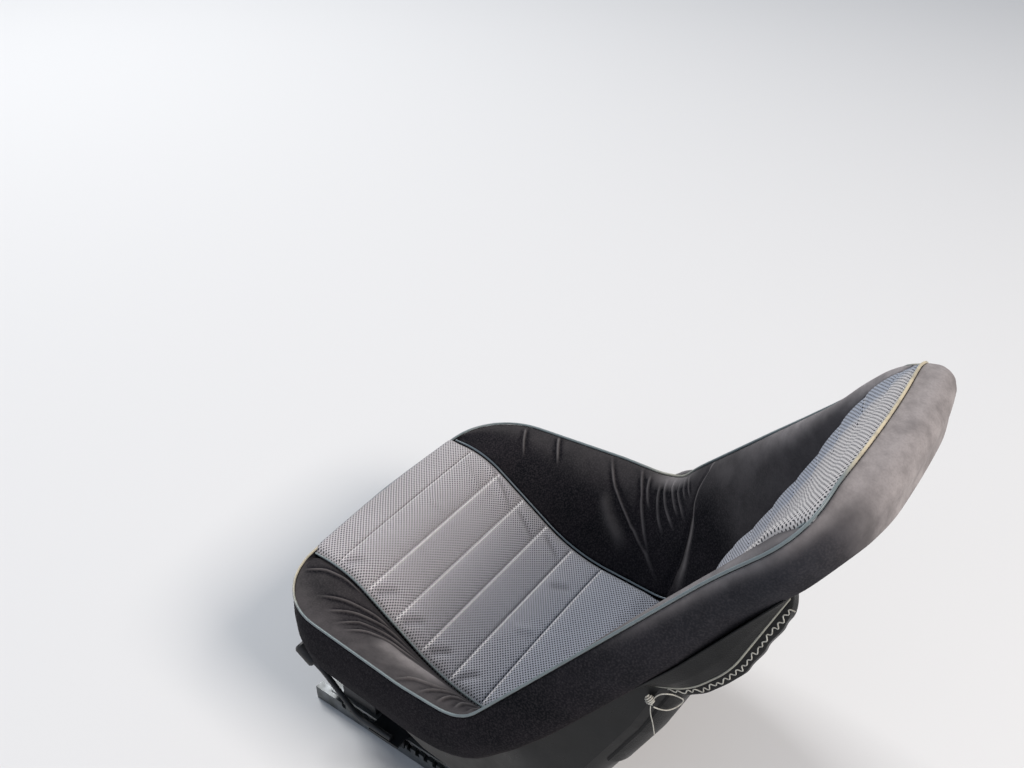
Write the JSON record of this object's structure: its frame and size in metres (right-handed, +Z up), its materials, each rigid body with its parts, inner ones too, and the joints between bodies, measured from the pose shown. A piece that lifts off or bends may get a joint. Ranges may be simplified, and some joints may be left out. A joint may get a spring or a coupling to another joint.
{
  "type": "dune buggy bucket seat",
  "caption": "Low-back moulded bucket seat with padded bolsters and a wrapped border, standing on brackets and slide rails with a release lever.",
  "frame": {"origin": "on the floor, at the centre of the four floor bolts", "axes": "+X to the sitter's left, +Y to the rear, +Z up"},
  "size_m": [0.52, 0.6878, 0.6726],
  "materials": {
    "check_cloth": "woven light and dark grey fine check",
    "velour": "charcoal velour",
    "piping": "pale grey-blue cord piping",
    "vinyl": "smooth black vinyl",
    "fibreglass": "black gelcoat over glass fibre",
    "black_steel": "satin black paint",
    "rail_steel": "dull zinc plate",
    "grip_plastic": "black moulded plastic",
    "glide_plastic": "natural nylon"
  },
  "bodies": {
    "base": {"rail_left": "rail_steel", "rail_right": "rail_steel"},
    "seat": {"shell": "fibreglass", "back_cover": "vinyl", "back_panel": "check_cloth", "cushion_panel": "check_cloth", "rim_piping": "piping", "border_front": "velour", "border_top": "velour", "release_lever": "black_steel", "lever_knob": "grip_plastic", "latch_plate": "black_steel", "cross_tube_front": "black_steel", "cross_tube_rear": "black_steel", "back_wing_left": "velour", "cushion_bolster_left": "velour", "border_left": "velour", "glides_left": "glide_plastic", "slider_left": "rail_steel", "riser_front_left": "black_steel", "riser_rear_left": "black_steel", "back_wing_right": "velour", "cushion_bolster_right": "velour", "border_right": "velour", "glides_right": "glide_plastic", "slider_right": "rail_steel", "riser_front_right": "black_steel", "riser_rear_right": "black_steel"}
  },
  "joints": [
    {"name": "seat_slide", "type": "slide", "parent": "base", "child": "seat", "axis": [0, -1, 0], "range_m": [-0.09, 0.09]}
  ]
}
